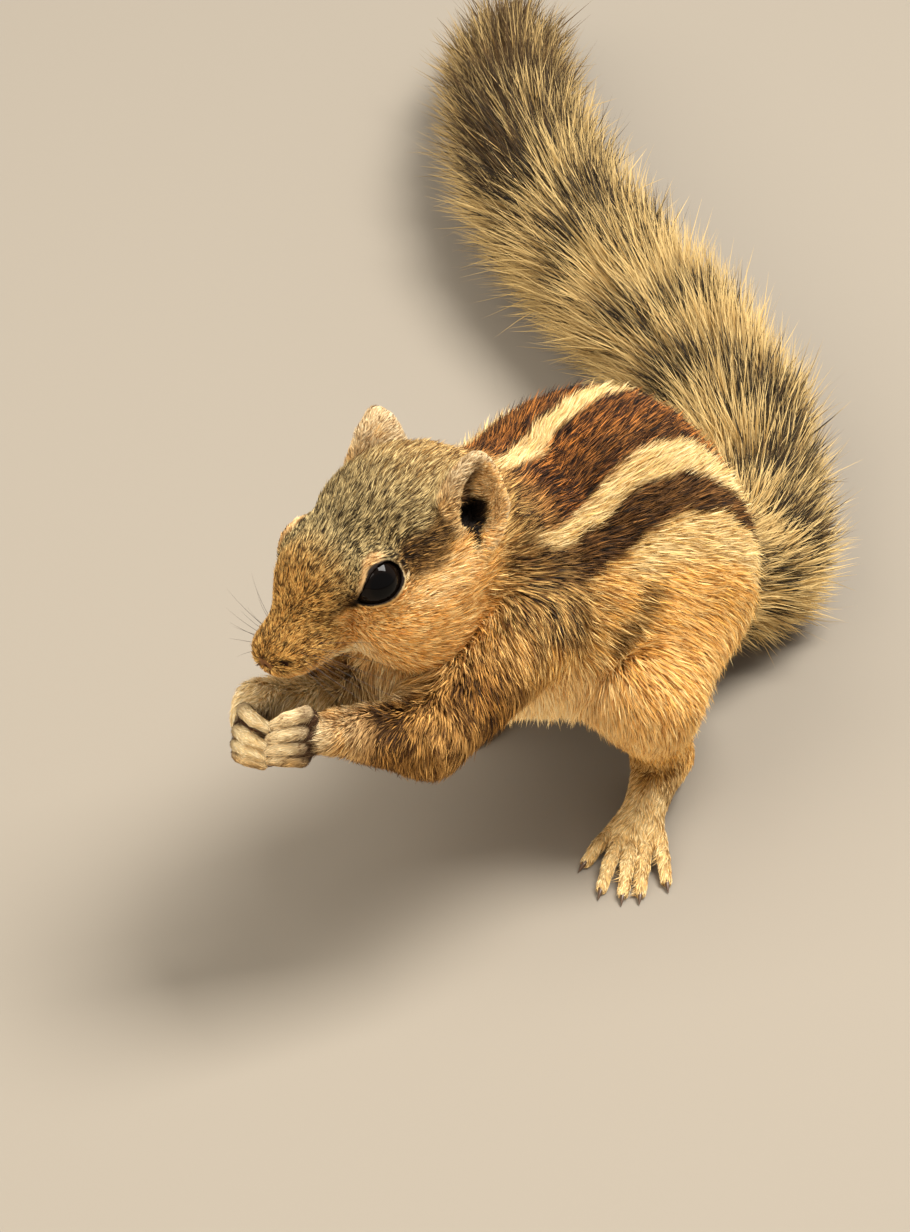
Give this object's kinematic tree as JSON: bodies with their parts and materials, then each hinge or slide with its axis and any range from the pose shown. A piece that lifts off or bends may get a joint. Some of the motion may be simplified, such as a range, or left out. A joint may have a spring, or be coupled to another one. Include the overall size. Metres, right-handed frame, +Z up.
{
  "type": "northern palm squirrel",
  "caption": "Life-size striped palm squirrel crouched on its hind feet, eating from both raised hands, bushy tail laid on the ground behind.",
  "frame": {"origin": "bottom centre of the whole animal's box, on the ground it rests on", "axes": "+Z up, -Y the way the body faces, +X the animal's left; the tail sweeps back along +Y and to -X"},
  "size_m": [0.155, 0.2158, 0.0768],
  "materials": {
    "head_fur": "short grizzled fur, olive grey on the crown and ochre on the muzzle",
    "back_fur": "soft fur, rust and dark brown with cream stripes",
    "flank_fur": "soft orange-buff fur, paler on the belly",
    "limb_fur": "short grizzled brown and buff fur",
    "tail_fur": "long bushy fur ringed cream and black",
    "bare_skin": "thinly haired skin with dark horn claws",
    "ear_skin": "thin skin with a short soft nap",
    "eye": "wet, glossy, almost black"
  },
  "bodies": {
    "root": {"head": "head_fur", "left_ear": "ear_skin", "right_ear": "ear_skin", "left_eye": "eye", "right_eye": "eye", "neck": "back_fur", "trunk": "back_fur", "left_upper_arm": "limb_fur", "left_forearm": "limb_fur", "left_hand": "bare_skin", "right_upper_arm": "limb_fur", "right_forearm": "limb_fur", "right_hand": "bare_skin", "left_thigh": "flank_fur", "left_shin": "flank_fur", "left_foot": "bare_skin", "right_thigh": "flank_fur", "right_shin": "flank_fur", "right_foot": "bare_skin", "tail_1": "tail_fur", "tail_2": "tail_fur", "tail_3": "tail_fur", "tail_4": "tail_fur"}
  },
  "joints": []
}
